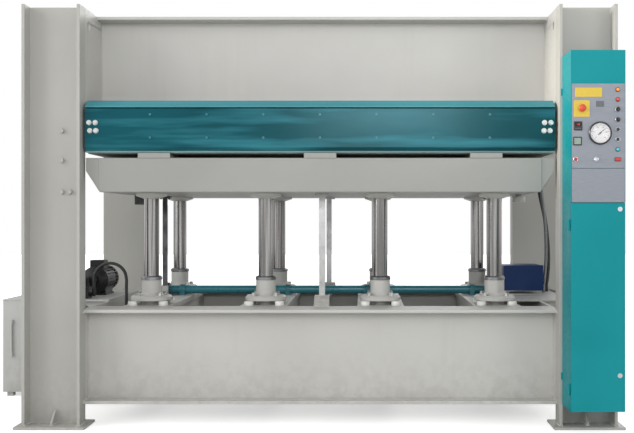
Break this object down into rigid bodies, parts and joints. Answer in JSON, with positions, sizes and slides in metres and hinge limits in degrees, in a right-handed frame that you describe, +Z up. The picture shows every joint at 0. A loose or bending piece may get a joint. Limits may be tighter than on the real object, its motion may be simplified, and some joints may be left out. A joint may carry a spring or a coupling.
{
  "type": "hydraulic platen press",
  "caption": "Up-stroke hydraulic platen press: welded portal frame, plungers lifting a table and hot platen, rack-and-pinion synchroniser, oil unit and side control cabinet.",
  "frame": {"origin": "on the floor, at the centre of the anchor holes in the four foot plates", "axes": "+X to the right along the press as its operator faces it, +Y from the operator to the rear, +Z up"},
  "size_m": [3.883, 1.896, 2.4],
  "materials": {
    "grey_paint": "satin",
    "teal_paint": "gloss",
    "dark_teal_paint": "gloss",
    "bright_steel": "ground",
    "dark_steel": "oiled",
    "bronze": "machined",
    "black_plastic": "matte",
    "rubber_hose": "matte",
    "navy_paint": "satin",
    "panel_aluminium": "anodised",
    "white_zinc": "satin",
    "insulation_board": "matte",
    "red_plastic": "gloss"
  },
  "bodies": {
    "frame": {"left_front_column": "grey_paint", "left_rear_column": "grey_paint", "right_front_column": "grey_paint", "right_rear_column": "grey_paint", "side_plates": "grey_paint", "crosshead_front_beam": "grey_paint", "crosshead_rear_beam": "grey_paint", "crosshead_ribs": "grey_paint", "base_front_beam": "grey_paint", "base_rear_beam": "grey_paint", "cylinder_bolsters": "grey_paint", "front_cylinders": "grey_paint", "rear_cylinders": "grey_paint", "gland_rings": "dark_steel", "frame_bolts": "white_zinc", "upper_platen": "dark_steel", "upper_skirts": "teal_paint", "guide_blocks": "bronze", "shaft_bearings": "dark_teal_paint", "oil_tank": "grey_paint", "pump_motor": "dark_steel", "valve_block": "dark_steel", "equipment_shelves": "grey_paint", "pressure_hose": "rubber_hose", "oil_pipes": "bright_steel", "junction_box": "navy_paint", "platen_hose": "rubber_hose", "table_hose": "rubber_hose", "cabinet_box": "teal_paint", "door_frame": "teal_paint", "switchgear": "black_plastic", "control_panel": "panel_aluminium", "pressure_gauge": "bright_steel", "panel_displays": "black_plastic", "signal_lamps": "red_plastic"},
    "table": {"moving_table": "grey_paint", "front_rods": "bright_steel", "rear_rods": "bright_steel", "table_bolts": "bright_steel", "table_clamps": "grey_paint", "insulating_spacers": "insulation_board", "lower_bolster": "grey_paint", "lower_platen": "dark_steel", "platen_skirts": "dark_teal_paint", "racks": "dark_steel", "guide_bars": "bright_steel", "hose_manifold": "dark_steel"},
    "torsion_tube": {"torsion_shaft": "dark_teal_paint", "pinions": "dark_steel"},
    "needle": {"gauge_needle": "black_plastic"},
    "stop_button": {"stop_button": "red_plastic"},
    "red_button": {"red_button": "red_plastic"},
    "up_button": {"up_button": "black_plastic"},
    "down_button": {"down_button": "black_plastic"},
    "pump_selector": {"pump_selector": "black_plastic"},
    "heat_selector": {"heat_selector": "black_plastic"},
    "key_switch": {"key_switch": "bright_steel"},
    "door": {"cabinet_door": "teal_paint"},
    "upper_lock": {"upper_door_lock": "bright_steel"},
    "lower_lock": {"lower_door_lock": "bright_steel"}
  },
  "joints": [
    {"name": "table_lift", "type": "slide", "parent": "frame", "child": "table", "axis": [0, 0, 1], "range_m": [-0.4, 0], "deforming": ["table_hose", "platen_hose"]},
    {"name": "torsion_turn", "type": "hinge", "parent": "frame", "child": "torsion_tube", "pos_m": [0, 0.223, 0.7005], "axis": [1, 0, 0], "range_deg": [0, 521]},
    {"name": "needle_turn", "type": "hinge", "parent": "frame", "child": "needle", "pos_m": [1.527, -1.014, 1.649], "axis": [0, -1, 0], "range_deg": [-80, 175], "stiffness_Nm_per_rad": 0.002},
    {"name": "stop_push", "type": "slide", "parent": "frame", "child": "stop_button", "axis": [0, 1, 0], "range_m": [0, 0.005]},
    {"name": "red_push", "type": "slide", "parent": "frame", "child": "red_button", "axis": [0, 1, 0], "range_m": [0, 0.005], "stiffness_N_per_m": 500},
    {"name": "up_push", "type": "slide", "parent": "frame", "child": "up_button", "axis": [0, 1, 0], "range_m": [0, 0.005], "stiffness_N_per_m": 500},
    {"name": "down_push", "type": "slide", "parent": "frame", "child": "down_button", "axis": [0, 1, 0], "range_m": [0, 0.005], "stiffness_N_per_m": 500},
    {"name": "pump_select", "type": "hinge", "parent": "frame", "child": "pump_selector", "pos_m": [1.623, -1.014, 1.778], "axis": [0, -1, 0], "range_deg": [-45, 45]},
    {"name": "heat_select", "type": "hinge", "parent": "frame", "child": "heat_selector", "pos_m": [1.623, -1.014, 1.722], "axis": [0, -1, 0], "range_deg": [-80, 10]},
    {"name": "key_turn", "type": "hinge", "parent": "frame", "child": "key_switch", "pos_m": [1.506, -1.014, 1.507], "axis": [0, -1, 0], "range_deg": [-90, 0]},
    {"name": "door_swing", "type": "hinge", "parent": "frame", "child": "door", "pos_m": [1.364, -0.994, 0.7], "axis": [0, 0, -1], "range_deg": [0, 110]},
    {"name": "upper_lock_turn", "type": "hinge", "parent": "door", "child": "upper_lock", "pos_m": [1.636, -1.01, 1.238], "axis": [0, 1, 0], "range_deg": [-90, 0]},
    {"name": "lower_lock_turn", "type": "hinge", "parent": "door", "child": "lower_lock", "pos_m": [1.636, -1.01, 0.337], "axis": [0, 1, 0], "range_deg": [-90, 0]}
  ],
  "couplings": [
    {"joint": "torsion_turn", "follows": "table_lift", "rad_per_m": -22.727}
  ]
}
